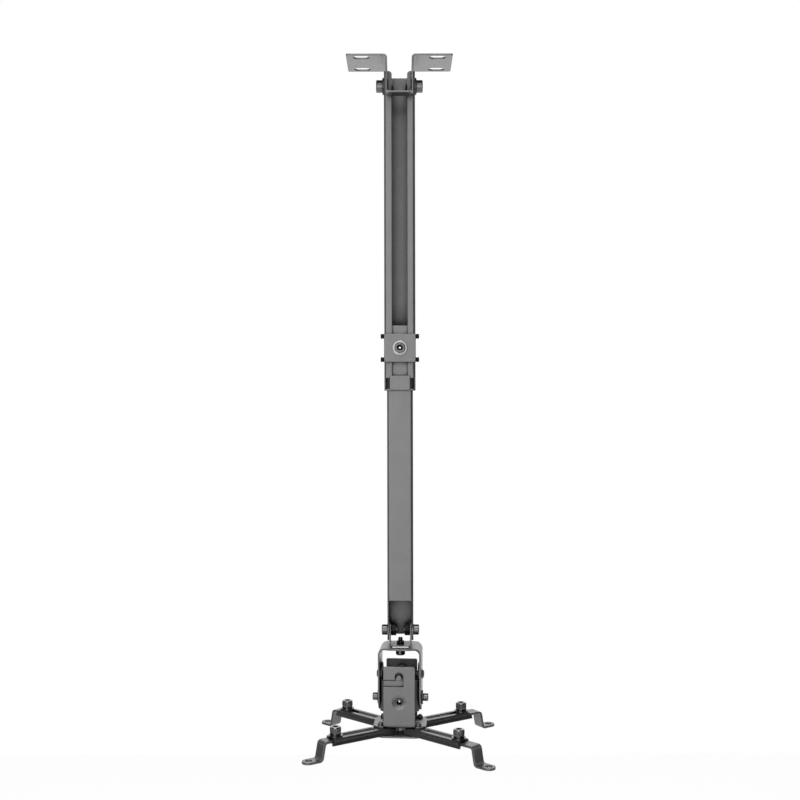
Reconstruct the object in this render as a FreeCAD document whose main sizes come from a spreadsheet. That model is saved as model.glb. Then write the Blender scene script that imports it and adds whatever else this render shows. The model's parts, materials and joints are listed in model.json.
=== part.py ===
import FreeCAD, Part
import math
import os
import Sketcher

# A telescopic ceiling mount for a projector.
# The origin is the middle of the ceiling face. Z points up, X to the viewer's right, Y away from the viewer.
# All lengths are millimetres.

os.makedirs("parts", exist_ok=True)
doc = FreeCAD.newDocument("projector_mount")
sheet = doc.addObject("Spreadsheet::Sheet", "Sizes")


class Size:
    """A length held both as a number and as the sheet expression that gives it."""

    def __init__(self, value, text):
        self.value = value
        self.text = text

    def joined(self, sign, other, value):
        return Size(value, "(%s %s %s)" % (self.text, sign, other.text))

    def __add__(self, other):
        other = as_size(other)
        return self.joined("+", other, self.value + other.value)

    def __sub__(self, other):
        other = as_size(other)
        return self.joined("-", other, self.value - other.value)

    def __mul__(self, other):
        other = as_size(other)
        return self.joined("*", other, self.value * other.value)

    def __truediv__(self, other):
        other = as_size(other)
        return self.joined("/", other, self.value / other.value)

    def __neg__(self):
        return as_size(-1) * self


def as_size(value):
    if isinstance(value, Size):
        return value
    return Size(float(value), "%g" % value)


# The driving sizes, one line each
SIZES = {
    # Sizes shared by many pieces
    "sheet_thick": 1.5,  # thickness of all folded sheet
    "bend": 2,  # inside radius of a fold
    "slide_gap": 0.2,  # gap between flat faces that slide past each other
    "pivot_gap": 0.06,  # radial clearance of a pin that turns in its hole
    "turn_gap": 0.1,  # gap beside a face that turns
    "pass_gap": 0.3,  # radial clearance of a screw in a plain hole
    "socket_share": 0.6,  # depth of a key socket as a share of its head's length
    # Ceiling bracket and top pivot
    "flange_span": 100,  # ceiling bracket, left to right
    "bracket_depth": 52,  # ceiling bracket, front to back
    "bracket_drop": 36,  # ceiling to the underside of the front strip
    "strip_depth": 13,  # front to back size of the front strip
    "flange_web": 6,  # height of the full-depth part of a bracket leg
    "leg_back": 2,  # how far a bracket leg reaches behind the pivot
    "leg_round": 9.5,  # radius of a bracket leg round the pivot
    "slot_pitch_x": 71.6,  # ceiling slots, left to right
    "slot_pitch_y": 37,  # ceiling slots, front to back
    "slot_length": 15.6,  # ceiling slot, end to end
    "slot_width": 9,  # ceiling slot, width
    "top_pivot": 23.5,  # ceiling to the top pivot axis
    "top_screw": 8,  # top pivot screw, shank diameter
    "top_head": 12,  # top pivot screw, head diameter
    "top_head_long": 6,  # top pivot screw, head length
    "top_key": 6,  # top pivot screw, key size
    "top_washer": 16,  # top pivot washer diameter
    "washer_thick": 1.4,  # thickness of the washers
    "top_nut": 13,  # top pivot nut across flats
    "nut_long": 5,  # length of the larger nuts
    "screw_end": 1,  # how far a screw ends beyond its nut
    # Outer channel, its end stop and its bush
    "channel_width": 29.5,  # outer channel, left to right
    "channel_depth": 25,  # outer channel, front to back
    "channel_bend": 1,  # inside radius of the channel's corners
    "channel_over": 11.2,  # top pivot to the top of the channel
    "channel_long": 301.9,  # length of the channel
    "lip_gap": 14.6,  # slot between the channel's lips
    "slit_under": 1,  # end of a bracket leg to the end of its slit in a lip
    "lip_round": 3,  # rounding of the lips' upper corners
    "notch_high": 10.4,  # height of a notch in the lips
    "notch_up": 1.4,  # lip left under a notch
    "notch_in": 8.6,  # centre line to the near side of a notch
    "lug_wide": 3.4,  # width of the bush lug that shows in a notch
    "stop_wide": 19.3,  # end-stop plate, left to right
    "stop_high": 13.7,  # end-stop plate, height
    "stop_up": 0.4,  # lower end of the channel to the end-stop plate
    "bush_high": 13,  # height of the guide bush
    "bush_gap": 0.15,  # gap between bush and tube, and between glide and channel
    # Inner tube and clamp
    "tube_width": 24.6,  # inner tube, left to right
    "tube_depth": 20,  # inner tube, front to back
    "tube_bend": 1,  # inside radius of the tube's corners
    "tube_in": 61.5,  # length of tube inside the channel as stored
    "tube_long": 289.9,  # top of the tube to the lower pivot axis
    "tube_open": 29.1,  # lower pivot to the cut in the tube's front wall
    "tube_back_end": 6,  # back wall left below the lower pivot
    "clamp_down": 21.5,  # top of the tube to the clamp screw
    "clamp_wide": 29.8,  # clamp block, left to right
    "clamp_high": 26.4,  # clamp block, height
    "clamp_thick": 6,  # clamp block, front to back
    "clamp_gap": 0.3,  # clamp block to the channel's lips
    "clamp_washer_size": 13.7,  # clamp washer diameter
    "glide_high": 22,  # height of the glide behind the clamp block
    "grub_size": 4.2,  # side grub screw diameter
    "grub_out": 3.2,  # how far a grub screw stands out of the block
    "grub_in": 4,  # how far a grub screw goes into the block
    "grub_pitch": 21.9,  # side grub screws, upper to lower
    "grub_key": 2,  # grub screw key size
    # Screws of the middle size
    "screw_size": 6,  # shank diameter of the middle screws
    "head_size": 10,  # head diameter of the middle screws
    "head_long": 6,  # head length of the middle screws
    "key_size": 5,  # key size of the middle screws
    "nut_size": 10,  # middle nut across flats
    "nut_turn": 30,  # how far the nuts are turned on their screws, in degrees
    # Lower pivot, clevis and swivel
    "low_head_long": 5.5,  # lower pivot screw, head length
    "clevis_depth": 16,  # clevis round the pivot, front to back
    "clevis_front": 11,  # lower pivot to the front edge of the clevis base
    "clevis_drop": 14.7,  # lower pivot to the underside of the clevis
    "swivel_screw": 4,  # swivel screw, shank diameter
    "swivel_head": 9,  # swivel screw, head diameter
    "swivel_head_long": 7.6,  # swivel screw, head length
    "swivel_key": 4,  # swivel screw, key size
    "swivel_nut": 7,  # swivel nut across flats
    "swivel_nut_long": 2.8,  # swivel nut length
    "swivel_end": 3,  # how far the swivel screw ends beyond its nut
    "head_turn": 4.4,  # how far the head is swivelled to the left, in degrees
    # Yoke and tilt bracket
    "yoke_wide": 40.5,  # yoke, left to right
    "yoke_depth": 32,  # yoke legs, front to back
    "yoke_crown": 38,  # yoke top, front to back at its middle
    "crown_flat": 16,  # straight part of the yoke top's front edge
    "yoke_bend": 5,  # inside radius of the yoke's corners
    "yoke_leg": 44.7,  # yoke top to the centre of its rounded leg ends
    "tilt_drop": 27.4,  # yoke top to the tilt axis
    "rivet_size": 5,  # tilt rivet shank diameter
    "rivet_head": 8.6,  # tilt rivet head diameter
    "rivet_high": 2.4,  # tilt rivet head height
    "lock_radius": 22,  # tilt axis to the tilt lock screws
    "lock_angle": 17,  # half angle of the arc slots
    "lock_screw": 4,  # lock screw shank diameter
    "lock_head": 7.3,  # lock screw head diameter
    "lock_head_long": 4.9,  # lock screw head length
    "lock_key": 3,  # lock screw key size
    "lock_washer": 13,  # lock washer diameter
    "lock_nut": 7,  # lock nut across flats
    "lock_nut_long": 3.2,  # lock nut length
    "sleeve_rim": 3,  # tilt axis to the open rim of the tilt bracket below it
    "sleeve_down": 32,  # tilt axis to the bottom of the tilt bracket
    "sleeve_ear": 11,  # radius of the tilt bracket round a tilt rivet
    "pin_ear": 4.6,  # radius of the tilt bracket round a hook pin
    "sleeve_bend": 4,  # inside radius of the tilt bracket's corners
    "sleeve_gap": 0.25,  # tilt bracket to the yoke's legs
    # Hanger, hook and roll lock
    "hanger_wide": 30,  # hanger uprights, left to right
    "hanger_over": 10.1,  # hook pins to the top of the hanger
    "hanger_under": 47.7,  # hook pins to the underside of the hanger
    "hanger_depth": 36.6,  # hanger, front to back
    "hanger_corner": 1,  # chamfer of the hanger's upper corners
    "hanger_gap": 0.7,  # hanger uprights to the tilt bracket
    "base_wide": 50,  # hanger base plate, left to right
    "base_depth": 34,  # hanger base plate, front to back
    "base_corner": 7,  # corner radius of the hanger base plate
    "hook_over": 0.3,  # tilt axis to the hook pins above it
    "hook_pin": 5.2,  # hook pin diameter
    "hook_gap": 1.3,  # radial clearance of a hook pin in its hook
    "hook_rise": 1.1,  # hook pin to the centre of the hook's arch above it
    "hook_fall": 2.1,  # hook pin to the upper edge of the entry slot
    "hook_slot": 6.5,  # height of the entry slot
    "roll_down": 23,  # hook pins to the roll lock screw
    "roll_travel": 2.3,  # side travel of the roll lock screw
    "roll_head": 6.8,  # roll lock screw, head diameter
    "roll_head_long": 1.2,  # roll lock screw, head length
    "roll_key": 4.6,  # roll lock screw, key size
    "roll_socket": 3,  # roll lock screw, depth of the key socket
    "dish_size": 14,  # dish round the roll lock screw, outside
    "dish_inner": 7.4,  # dish round the roll lock screw, inside
    "dish_deep": 1,  # depth of the dish
    # Hub, arms and legs
    "hub_wide": 45,  # hub base plate, left to right
    "hub_depth": 44,  # hub base plate, front to back
    "hub_corner": 9,  # corner radius of the hub base plate
    "spacer_size": 7,  # hub spacer diameter
    "hub_head": 7.4,  # hub screw head diameter
    "hub_head_long": 2.8,  # hub screw head length
    "arm_angle": 38,  # angle between an arm and the X axis
    "arm_pivot": 22.6,  # hub centre to an arm pivot
    "arm_rivet": 4,  # arm rivet shank diameter
    "arm_rivet_head": 5.6,  # arm rivet head diameter
    "arm_rivet_high": 3.3,  # arm rivet head height
    "arm_rivet_bore": 2.4,  # bore of the hollow arm rivets
    "arm_start": 12.5,  # hub centre to the inner end of an arm
    "arm_end": 77,  # hub centre to the outer end of an arm's top
    "arm_lip": 2.6,  # how far an arm's lower edges reach beyond its top
    "arm_wide": 15.6,  # arm, width at the top
    "arm_high": 6,  # arm, height
    "arm_flare": 0.9,  # how far an arm's lower edges turn out
    "arm_waist": 3,  # arm top to the line where its walls turn out
    "arm_slot_start": 32,  # hub centre to the inner end centre of an arm's slot
    "arm_slot_end": 72.3,  # hub centre to the outer end centre of an arm's slot
    "arm_slot": 6.6,  # width of an arm's slot
    "leg_screw_at": 72,  # hub centre to a leg screw
    "leg_washer": 13.4,  # leg washer diameter
    "spring_size": 10.4,  # spring washer diameter
    "spring_thick": 1.6,  # spring washer thickness
    "spring_split": 0.8,  # width of the split in a spring washer
    "leg_wide": 12.2,  # leg strap width
    "leg_thick": 2,  # leg strap thickness
    "leg_inner": 62,  # hub centre to the inner end of a leg strap
    "leg_knee": 87.2,  # hub centre to a leg's upper fold
    "leg_set_right": 6,  # how much further out the right legs fold
    "leg_lean": 3,  # how far a leg leans out on its way down
    "foot_reach": 13,  # upper fold of a leg to the hole in its foot
    "leg_hole": 6.6,  # diameter of the hole in a foot
    "leg_fold": 2,  # inside radius of a leg's folds
    "leg_collar": 8.4,  # diameter of the threaded collar under a leg strap
    "leg_collar_high": 1.8,  # height of the threaded collar
    "leg_drop": 17.9,  # top of a leg strap to the underside of its foot
}


class Dimensions:
    """Every driving size by its name."""


dims = Dimensions()
for row, (alias, amount) in enumerate(SIZES.items(), start=1):
    sheet.set("A%d" % row, alias)
    sheet.set("B%d" % row, "%g" % amount)
    sheet.setAlias("B%d" % row, alias)
    setattr(dims, alias, Size(float(amount), "Sizes." + alias))
doc.recompute()

# Levels and faces that follow from the sizes above

channel_half = dims.channel_width / 2
channel_front = -(dims.channel_depth / 2)
channel_inner = channel_half - dims.sheet_thick
bracket_leg_outer = channel_inner - dims.slide_gap
bracket_leg_inner = bracket_leg_outer - dims.sheet_thick
tube_half = dims.tube_width / 2
tube_inner = tube_half - dims.sheet_thick
tube_front = -(dims.tube_depth / 2)
tube_corner = dims.tube_bend + dims.sheet_thick
block_back = channel_front - dims.clamp_gap
block_front = block_back - dims.clamp_thick
channel_top = dims.top_pivot - dims.channel_over
channel_end = channel_top + dims.channel_long
lip_slit = dims.top_pivot + dims.leg_round + dims.slit_under
tube_top = channel_end - dims.tube_in
clamp_drop = tube_top + dims.clamp_down
low_axis = -(tube_top + dims.tube_long)
tube_cut = -low_axis - dims.tube_open
clevis_half = tube_inner - dims.slide_gap
clevis_inner = clevis_half - dims.sheet_thick
clevis_base = low_axis - dims.clevis_drop
yoke_top = clevis_base - dims.turn_gap
yoke_half = dims.yoke_wide / 2
yoke_inner = yoke_half - dims.sheet_thick
tilt_axis = yoke_top - dims.tilt_drop
sleeve_half = yoke_inner - dims.sleeve_gap
sleeve_inner = sleeve_half - dims.sheet_thick
hook_drop = -tilt_axis - dims.hook_over
hanger_top = hook_drop - dims.hanger_over
hanger_end = hook_drop + dims.hanger_under
roll_drop = hook_drop + dims.roll_down
hanger_front = -(dims.hanger_depth / 2)
hanger_inside = hanger_front + dims.sheet_thick
sleeve_front = hanger_inside + dims.hanger_gap
base_under = -hanger_end
base_over = base_under + dims.sheet_thick
arm_top = base_under - dims.slide_gap
arm_under = arm_top - dims.arm_high
hub_top = arm_under - dims.slide_gap
hub_under = hub_top - dims.sheet_thick
strap_top = arm_top - dims.sheet_thick - dims.slide_gap
strap_under = strap_top - dims.leg_thick
foot_under = strap_top - dims.leg_drop
leg_foot = dims.leg_knee + dims.foot_reach
foot_top = foot_under + dims.leg_thick
head_angle = -dims.head_turn

parts_to_write = []


# Sketches

def pin_coordinate(sketch, edge, end, size, kind, axis):
    """Hold one coordinate of a point at a size, or on the axis when it is nought."""
    if size.value == 0:
        sketch.addConstraint(Sketcher.Constraint("PointOnObject", edge, end, axis))
        return
    index = sketch.addConstraint(Sketcher.Constraint(kind, -1, 1, edge, end, size.value))
    sketch.setExpression("Constraints[%d]" % index, size.text)


def pin_point(sketch, edge, end, x, y):
    pin_coordinate(sketch, edge, end, as_size(x), "DistanceX", -2)
    pin_coordinate(sketch, edge, end, as_size(y), "DistanceY", -1)


def pin_radius(sketch, edge, radius):
    index = sketch.addConstraint(Sketcher.Constraint("Radius", edge, radius.value))
    sketch.setExpression("Constraints[%d]" % index, radius.text)


def step(size, direction, amount):
    """Move a coordinate by an amount along a direction of -1, 0 or 1."""
    if direction == 0:
        return size
    if direction > 0:
        return size + amount
    return size - amount


def way(start, end):
    """Give the unit direction from one corner to the next."""
    across = as_size(end[0]).value - as_size(start[0]).value
    along = as_size(end[1]).value - as_size(start[1]).value
    length = math.hypot(across, along)
    return round(across / length, 6), round(along / length, 6)


def loop(corners):
    """A closed loop through corners (x, y), or (x, y, radius) where a square corner is rounded."""

    def draw(sketch):
        points = []
        arcs = {}
        for number, corner in enumerate(corners):
            x = as_size(corner[0])
            y = as_size(corner[1])
            if len(corner) == 2:
                points.append((x, y))
                continue
            radius = as_size(corner[2])
            before = way(corners[number - 1], corner)
            after = way(corner, corners[(number + 1) % len(corners)])
            middle_x = x.value + radius.value * (after[0] - before[0])
            middle_y = y.value + radius.value * (after[1] - before[1])
            left_turn = before[0] * after[1] - before[1] * after[0] > 0
            arcs[len(points)] = (radius, FreeCAD.Vector(middle_x, middle_y, 0), left_turn)
            points.append((step(x, -before[0], radius), step(y, -before[1], radius)))
            points.append((step(x, after[0], radius), step(y, after[1], radius)))
        edges = []
        for number, point in enumerate(points):
            following = points[(number + 1) % len(points)]
            start = FreeCAD.Vector(point[0].value, point[1].value, 0)
            end = FreeCAD.Vector(following[0].value, following[1].value, 0)
            if number not in arcs:
                edge = sketch.addGeometry(Part.LineSegment(start, end))
                edges.append((edge, 1, 2))
                continue
            radius, middle, left_turn = arcs[number]
            first, last = (start, end) if left_turn else (end, start)
            first_angle = math.atan2(first.y - middle.y, first.x - middle.x)
            last_angle = math.atan2(last.y - middle.y, last.x - middle.x)
            circle = Part.Circle(middle, FreeCAD.Vector(0, 0, 1), radius.value)
            edge = sketch.addGeometry(Part.ArcOfCircle(circle, first_angle, last_angle))
            edges.append((edge, 1, 2) if left_turn else (edge, 2, 1))
        for number, (edge, tail, head) in enumerate(edges):
            following = edges[(number + 1) % len(edges)]
            sketch.addConstraint(Sketcher.Constraint("Coincident", edge, head, following[0], following[1]))
            pin_point(sketch, edge, tail, points[number][0], points[number][1])
            if number in arcs:
                pin_radius(sketch, edge, arcs[number][0])

    return draw


def box_loop(left, low, right, high):
    return loop([(left, low), (right, low), (right, high), (left, high)])


def round_box(half_wide, half_high, radius):
    """A rectangle about the sketch origin with rounded corners."""
    return loop([
        (-half_wide, -half_high, radius),
        (half_wide, -half_high, radius),
        (half_wide, half_high, radius),
        (-half_wide, half_high, radius),
    ])


def ring(x, y, radius):
    """A full circle."""

    def draw(sketch):
        middle = FreeCAD.Vector(as_size(x).value, as_size(y).value, 0)
        edge = sketch.addGeometry(Part.Circle(middle, FreeCAD.Vector(0, 0, 1), radius.value))
        pin_point(sketch, edge, 3, x, y)
        pin_radius(sketch, edge, radius)

    return draw


def slot(first_x, last_x, y, radius):
    """A slot along the sketch's first axis, between two end centres."""

    def draw(sketch):
        normal = FreeCAD.Vector(0, 0, 1)
        first = FreeCAD.Vector(as_size(first_x).value, as_size(y).value, 0)
        last = FreeCAD.Vector(as_size(last_x).value, as_size(y).value, 0)
        up = FreeCAD.Vector(0, radius.value, 0)
        quarter = math.pi / 2
        first_arc = Part.ArcOfCircle(Part.Circle(first, normal, radius.value), quarter, 3 * quarter)
        last_arc = Part.ArcOfCircle(Part.Circle(last, normal, radius.value), -quarter, quarter)
        one = sketch.addGeometry(first_arc)
        lower = sketch.addGeometry(Part.LineSegment(first - up, last - up))
        two = sketch.addGeometry(last_arc)
        upper = sketch.addGeometry(Part.LineSegment(last + up, first + up))
        sketch.addConstraint(Sketcher.Constraint("Tangent", one, 2, lower, 1))
        sketch.addConstraint(Sketcher.Constraint("Tangent", lower, 2, two, 1))
        sketch.addConstraint(Sketcher.Constraint("Tangent", two, 2, upper, 1))
        sketch.addConstraint(Sketcher.Constraint("Tangent", upper, 2, one, 1))
        sketch.addConstraint(Sketcher.Constraint("Equal", one, two))
        pin_radius(sketch, one, radius)
        pin_point(sketch, one, 3, first_x, y)
        pin_point(sketch, two, 3, last_x, y)

    return draw


def arc_slot(middle_y, spread, half_angle, radius):
    """A slot that follows an arc below a centre on the sketch's second axis."""

    def draw(sketch):
        normal = FreeCAD.Vector(0, 0, 1)
        turn = math.radians(half_angle.value)
        down = -math.pi / 2
        centre = FreeCAD.Vector(0, middle_y.value, 0)

        def on_arc(distance, angle):
            offset = FreeCAD.Vector(math.cos(angle), math.sin(angle), 0)
            return centre + offset * distance

        outer_circle = Part.Circle(centre, normal, spread.value + radius.value)
        inner_circle = Part.Circle(centre, normal, spread.value - radius.value)
        right_circle = Part.Circle(on_arc(spread.value, down + turn), normal, radius.value)
        left_circle = Part.Circle(on_arc(spread.value, down - turn), normal, radius.value)
        outer = sketch.addGeometry(Part.ArcOfCircle(outer_circle, down - turn, down + turn))
        right = sketch.addGeometry(Part.ArcOfCircle(right_circle, down + turn, down + turn + math.pi))
        inner = sketch.addGeometry(Part.ArcOfCircle(inner_circle, down - turn, down + turn))
        left_start = down - turn + math.pi
        left = sketch.addGeometry(Part.ArcOfCircle(left_circle, left_start, left_start + math.pi))
        sketch.addConstraint(Sketcher.Constraint("Tangent", outer, 2, right, 1))
        sketch.addConstraint(Sketcher.Constraint("Tangent", right, 2, inner, 2))
        sketch.addConstraint(Sketcher.Constraint("Tangent", inner, 1, left, 1))
        sketch.addConstraint(Sketcher.Constraint("Tangent", left, 2, outer, 1))
        pin_point(sketch, outer, 3, 0, middle_y)
        pin_point(sketch, inner, 3, 0, middle_y)
        pin_radius(sketch, outer, spread + radius)
        pin_radius(sketch, right, radius)
        across = spread * sine(half_angle)
        pin_coordinate(sketch, right, 3, across, "DistanceX", -2)
        pin_coordinate(sketch, left, 3, -across, "DistanceX", -2)

    return draw


def sine(angle):
    return Size(math.sin(math.radians(angle.value)), "sin(%s * 1 deg)" % angle.text)


def cosine(angle):
    return Size(math.cos(math.radians(angle.value)), "cos(%s * 1 deg)" % angle.text)


# Bodies made of slabs

def new_body(name):
    body = doc.addObject("PartDesign::Body", name)
    body.Label = name
    parts_to_write.append(body)
    return body


def slab(body, plane, low, high, shapes, cut=False):
    """Add or cut a slab between two levels of the axis square to a plane of the body."""
    low = as_size(low)
    high = as_size(high)
    number = len(body.Group)
    sketch = body.newObject("Sketcher::SketchObject", "%s_sketch_%d" % (body.Name, number))
    support = [p for p in body.Origin.OriginFeatures if p.Role == plane + "_Plane"][0]
    sketch.AttachmentSupport = [(support, "")]
    sketch.MapMode = "FlatFace"
    middle = (low + high) / 2
    if plane == "XZ":
        middle = -middle
    sketch.setExpression("AttachmentOffset.Base.z", middle.text)
    for draw in shapes:
        draw(sketch)
    kind = "PartDesign::Pocket" if cut else "PartDesign::Pad"
    feature = body.newObject(kind, "%s_slab_%d" % (body.Name, number))
    feature.Profile = sketch
    feature.SideType = "Symmetric"
    feature.setExpression("Length", (high - low).text)
    doc.recompute()
    return feature


def cut(body, plane, low, high, shapes):
    return slab(body, plane, low, high, shapes, cut=True)


def edges_at(feature, wanted):
    """Name the edges of a feature whose middle passes a test."""
    names = []
    for number, edge in enumerate(feature.Shape.Edges, start=1):
        middle = edge.valueAt((edge.FirstParameter + edge.LastParameter) / 2)
        if wanted(edge, middle):
            names.append("Edge%d" % number)
    return names


def along(edge, axis):
    """Tell whether an edge is straight and runs along an axis."""
    if len(edge.Vertexes) < 2:
        return False
    run = edge.Vertexes[-1].Point - edge.Vertexes[0].Point
    if abs(run.Length - edge.Length) > 1e-6:
        return False
    return abs(abs(run.dot(axis)) - run.Length) < 1e-6


def near(value, size):
    return abs(value - size.value) < 0.01


def rounded(body, feature, radius, wanted):
    """Round the edges of a body's last feature that pass a test."""
    names = edges_at(feature, wanted)
    if not names:
        raise ValueError("no edge to round on " + body.Name)
    fillet = body.newObject("PartDesign::Fillet", "%s_round_%d" % (body.Name, len(body.Group)))
    fillet.Base = (feature, names)
    fillet.setExpression("Radius", radius.text)
    doc.recompute()
    return fillet


def turned(made, angle):
    """Turn a body, a group or a nut about its upright axis."""
    made.Placement = FreeCAD.Placement(FreeCAD.Vector(), FreeCAD.Rotation(FreeCAD.Vector(0, 0, 1), 1))
    made.setExpression("Placement.Rotation.Angle", angle.text)


def both_sides(body, plane, inner, outer, shapes, cutting=False):
    """Make the same slab on the left and the right of the middle."""
    slab(body, plane, inner, outer, shapes, cutting)
    return slab(body, plane, -outer, -inner, shapes, cutting)


# Round pieces and fasteners, each built upright on its own axis

X_AXIS = FreeCAD.Vector(1, 0, 0)
Y_AXIS = FreeCAD.Vector(0, 1, 0)
Z_AXIS = FreeCAD.Vector(0, 0, 1)


def bound(kind, name, **sizes):
    """Make a primitive whose sizes follow the sheet."""
    made = doc.addObject(kind, name)
    for key, size in sizes.items():
        made.setExpression(key, size.text)
    return made


def raised(made, level):
    made.setExpression("Placement.Base.z", as_size(level).text)
    return made


def rod(name, radius, low, high):
    low = as_size(low)
    made = bound("Part::Cylinder", name, Radius=radius, Height=as_size(high) - low)
    return raised(made, low)


def taper(name, low_radius, high_radius, low, high):
    low = as_size(low)
    made = bound("Part::Cone", name, Radius1=low_radius, Radius2=high_radius, Height=as_size(high) - low)
    return raised(made, low)


def hexagon(name, flats, low, high):
    low = as_size(low)
    made = bound("Part::Prism", name, Circumradius=flats / math.sqrt(3), Height=as_size(high) - low)
    made.Polygon = 6
    return raised(made, low)


def fused(name, pieces):
    made = doc.addObject("Part::MultiFuse", name)
    made.Shapes = pieces
    return made


def without(name, solid, tool):
    made = doc.addObject("Part::Cut", name)
    made.Base = solid
    made.Tool = tool
    return made


def socket_screw(name, shank, length, head, head_length, key, socket_depth=None):
    """A cap screw: bearing face at nought, head upwards, shank downwards."""
    rim = head_length * 0.1
    deep = socket_depth or head_length * dims.socket_share
    pieces = [
        rod(name + "_shank", shank / 2, -length, 0),
        rod(name + "_head", head / 2, 0, head_length - rim),
        taper(name + "_rim", head / 2, head / 2 - rim, head_length - rim, head_length),
    ]
    solid = fused(name + "_solid", pieces)
    floor = head_length - deep
    socket = hexagon(name + "_key", key, floor, head_length + 1)
    drilled = taper(name + "_drill", key * 0.18, key * 0.46, floor - key * 0.2, floor)
    return without(name, solid, fused(name + "_socket", [socket, drilled]))


def middle_screw(name, length):
    """A cap screw of the middle size, used for clamp and legs."""
    return socket_screw(name, dims.screw_size, length, dims.head_size, dims.head_long, dims.key_size)


def rivet(name, shank, length, head, height):
    """A rivet: bearing face at nought, low domed head upwards, shank downwards."""
    pieces = [
        rod(name + "_shank", shank / 2, -length, 0),
        rod(name + "_head", head / 2, 0, height * 0.4),
        taper(name + "_dome", head / 2, head * 0.32, height * 0.4, height),
    ]
    return fused(name, pieces)


def nut(name, flats, bore, length):
    """A nut standing on nought."""
    outside = hexagon(name + "_hex", flats, 0, length)
    turned(outside, dims.nut_turn)
    hole = rod(name + "_bore", bore / 2, -1, length + 1)
    return without(name, outside, hole)


def washer(name, size, bore, thick):
    """A washer standing on nought."""
    outside = rod(name + "_disc", size / 2, 0, thick)
    hole = rod(name + "_bore", bore / 2, -1, thick + 1)
    return without(name, outside, hole)


def spring_washer(name, size, bore, thick):
    """A split spring washer standing on nought."""
    whole = washer(name + "_ring", size, bore, thick)
    gap = bound("Part::Box", name + "_gap", Length=size, Width=dims.spring_split, Height=thick + 2)
    return without(name, whole, raised(gap, -1))


def put(made, direction, x, y, z):
    """Point a fastener's axis along a direction and set its bearing face at a place."""
    turn = FreeCAD.Rotation(Z_AXIS, direction)
    made.Placement = FreeCAD.Placement(FreeCAD.Vector(), turn)
    for letter, size in zip("xyz", (x, y, z)):
        made.setExpression("Placement.Base." + letter, as_size(size).text)
    return made


def keep(name, pieces):
    """Gather fasteners into one named group of separate solids."""
    group = doc.addObject("Part::Compound", name)
    group.Links = pieces
    group.Label = name
    parts_to_write.append(group)
    return group


def side_pair(name, make, x, y, z):
    """Two fasteners on one left to right axis, mirror images of each other."""
    right = put(make(name + "_right"), X_AXIS, x, y, z)
    left = put(make(name + "_left"), -X_AXIS, -x, y, z)
    return keep(name, [left, right])


# Ceiling bracket

def ceiling_bracket():
    body = new_body("ceiling_bracket")
    flange_half = dims.flange_span / 2
    outer_bend = dims.bend + dims.sheet_thick
    strip_top = -(dims.bracket_drop - dims.sheet_thick)
    slab(body, "XZ", -(dims.bracket_depth / 2), dims.bracket_depth / 2, [loop([
        (-flange_half, 0),
        (-bracket_leg_inner, 0, outer_bend),
        (-bracket_leg_inner, strip_top, dims.bend),
        (bracket_leg_inner, strip_top, dims.bend),
        (bracket_leg_inner, 0, outer_bend),
        (flange_half, 0),
        (flange_half, -dims.sheet_thick),
        (bracket_leg_outer, -dims.sheet_thick, dims.bend),
        (bracket_leg_outer, -dims.bracket_drop, outer_bend),
        (-bracket_leg_outer, -dims.bracket_drop, outer_bend),
        (-bracket_leg_outer, -dims.sheet_thick, dims.bend),
        (-flange_half, -dims.sheet_thick),
    ])])
    behind = dims.bracket_depth / 2 + 1
    strip_back = dims.strip_depth - dims.bracket_depth / 2
    below = -(dims.bracket_drop + 1)
    leg_end = -(dims.top_pivot + dims.leg_round)
    cut(body, "YZ", -channel_half, channel_half, [loop([
        (dims.leg_back, -dims.flange_web, dims.bend),
        (behind, -dims.flange_web),
        (behind, below),
        (strip_back, below),
        (strip_back, leg_end),
        (dims.leg_back, leg_end),
    ])])
    both_sides(body, "YZ", bracket_leg_inner, bracket_leg_outer, [ring(0, -dims.top_pivot, dims.leg_round)])
    half_run = (dims.slot_length - dims.slot_width) / 2
    slots = []
    for side in (1, -1):
        for row in (1, -1):
            across = dims.slot_pitch_x / 2 * side
            away = dims.slot_pitch_y / 2 * row
            slots.append(slot(across - half_run, across + half_run, away, dims.slot_width / 2))
    cut(body, "XY", -(dims.sheet_thick + 1), as_size(1), slots)
    hole = ring(0, -dims.top_pivot, dims.top_screw / 2 + dims.pivot_gap)
    last = cut(body, "YZ", -channel_half, channel_half, [hole])
    rounded(body, last, dims.bend, lambda edge, middle: (
        along(edge, Z_AXIS) and near(abs(middle.x), dims.flange_span / 2)))


def top_pivot_fasteners():
    seat = channel_half + dims.turn_gap
    bearing = seat + dims.washer_thick
    length = bearing - bracket_leg_inner + dims.nut_long + dims.screw_end

    def screw(name):
        return socket_screw(name, dims.top_screw, length, dims.top_head, dims.top_head_long, dims.top_key)

    def ring_washer(name):
        return washer(name, dims.top_washer, dims.top_screw + dims.pass_gap, dims.washer_thick)

    def inner_nut(name):
        return nut(name, dims.top_nut, dims.top_screw, dims.nut_long)

    side_pair("top_pivot_screws", screw, bearing, 0, -dims.top_pivot)
    side_pair("top_pivot_washers", ring_washer, seat, 0, -dims.top_pivot)
    side_pair("top_pivot_nuts", inner_nut, bracket_leg_inner - dims.nut_long, 0, -dims.top_pivot)


# Outer channel

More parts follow.
